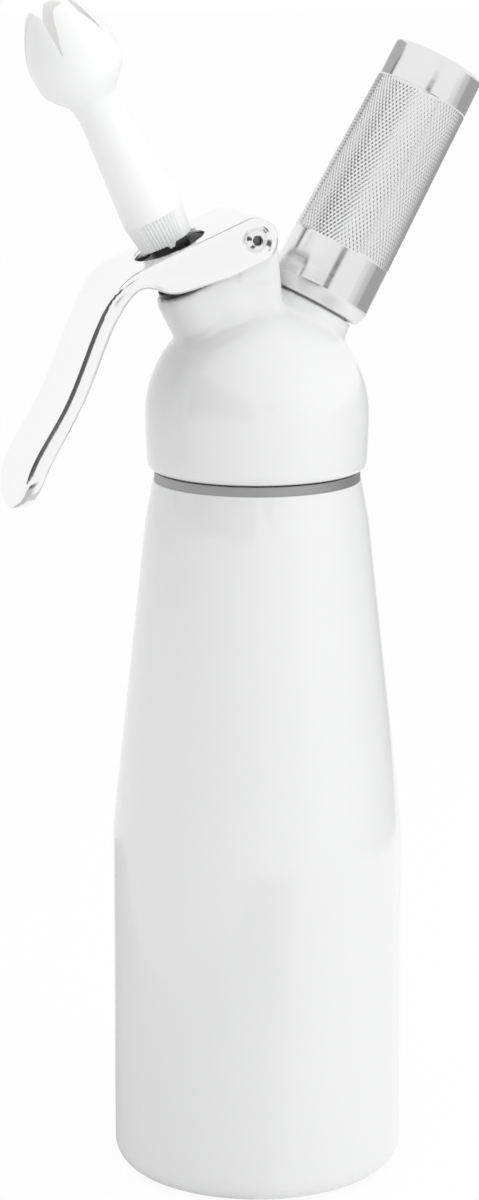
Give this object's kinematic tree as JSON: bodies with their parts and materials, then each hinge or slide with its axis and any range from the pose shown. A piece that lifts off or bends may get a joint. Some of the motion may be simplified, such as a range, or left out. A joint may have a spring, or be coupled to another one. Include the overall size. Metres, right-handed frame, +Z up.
{
  "type": "whipped cream dispenser",
  "caption": "Tall tapered flask with a domed screw head, a press lever over a tilted tulip nozzle, and a knurled sleeve that holds a gas charger.",
  "frame": {"origin": "centre of the flat underside of the bottle", "axes": "+Z up the bottle, -X towards the nozzle and the lever's handle, +X towards the charger holder"},
  "size_m": [0.1339, 0.08, 0.3248],
  "materials": {
    "enamel": "gloss white enamel",
    "polished_lever": "polished casting",
    "satin_aluminium": "turned and knurled, satin",
    "stainless": "turned",
    "white_plastic": "moulded, gloss",
    "silicone": "moulded, matte",
    "charger_steel": "plain steel"
  },
  "bodies": {
    "bottle": {"bottle": "enamel"},
    "gasket_carrier": {"head_gasket": "silicone"},
    "head_assembly": {"head": "enamel", "valve_body": "stainless", "valve_body_o_ring": "silicone", "valve_nut": "stainless", "inlet_gasket": "silicone", "inlet_stud": "stainless", "pin_gasket": "silicone", "piercing_pin": "stainless", "pin_retainer": "stainless", "check_valve": "silicone", "valve_spring": "stainless"},
    "lever_assembly": {"lever": "polished_lever", "pivot_screw": "stainless", "pivot_nut": "stainless", "pivot_washers": "white_plastic"},
    "valve_stem_assembly": {"valve_stem": "stainless", "stem_o_ring": "silicone", "valve_seal": "silicone", "nozzle_adapter": "stainless"},
    "tip": {"decorator_tip": "white_plastic"},
    "charger_carrier": {"charger": "charger_steel", "charger_seal": "charger_steel"},
    "holder": {"charger_holder": "satin_aluminium", "holder_pad": "silicone"}
  },
  "joints": [
    {"name": "head_lift", "type": "slide", "parent": "bottle", "child": "gasket_carrier", "axis": [0, 0, 1], "range_m": [0, 0.012]},
    {"name": "head_turn", "type": "hinge", "parent": "gasket_carrier", "child": "head_assembly", "pos_m": [0, 0, 0.2], "axis": [0, 0, 1], "range_deg": [0, 1440]},
    {"name": "lever_press", "type": "hinge", "parent": "head_assembly", "child": "lever_assembly", "pos_m": [-0.00512, 0, 0.2608], "axis": [0, -1, 0], "range_deg": [0, 12], "stiffness_Nm_per_rad": 1.5, "springref_deg": -8.59},
    {"name": "valve_travel", "type": "slide", "parent": "head_assembly", "child": "valve_stem_assembly", "axis": [0.4617, 0, -0.887], "range_m": [0, 0.0042], "deforming": ["valve_spring"]},
    {"name": "tip_turn", "type": "hinge", "parent": "valve_stem_assembly", "child": "tip", "pos_m": [-0.0254, 0, 0.25945], "axis": [-0.4617, 0, 0.887], "range_deg": [0, 720]},
    {"name": "holder_lift", "type": "slide", "parent": "head_assembly", "child": "charger_carrier", "axis": [0.4939, 0, 0.8695], "range_m": [0, 0.008]},
    {"name": "holder_turn", "type": "hinge", "parent": "charger_carrier", "child": "holder", "pos_m": [0.016, 0, 0.2416], "axis": [0.4939, 0, 0.8695], "range_deg": [0, 1440]}
  ],
  "couplings": [
    {"joint": "head_lift", "follows": "head_turn", "m_per_rad": 0.00047746},
    {"joint": "valve_travel", "follows": "lever_press", "m_per_rad": 0.018982},
    {"joint": "holder_lift", "follows": "holder_turn", "m_per_rad": 0.00031831}
  ]
}
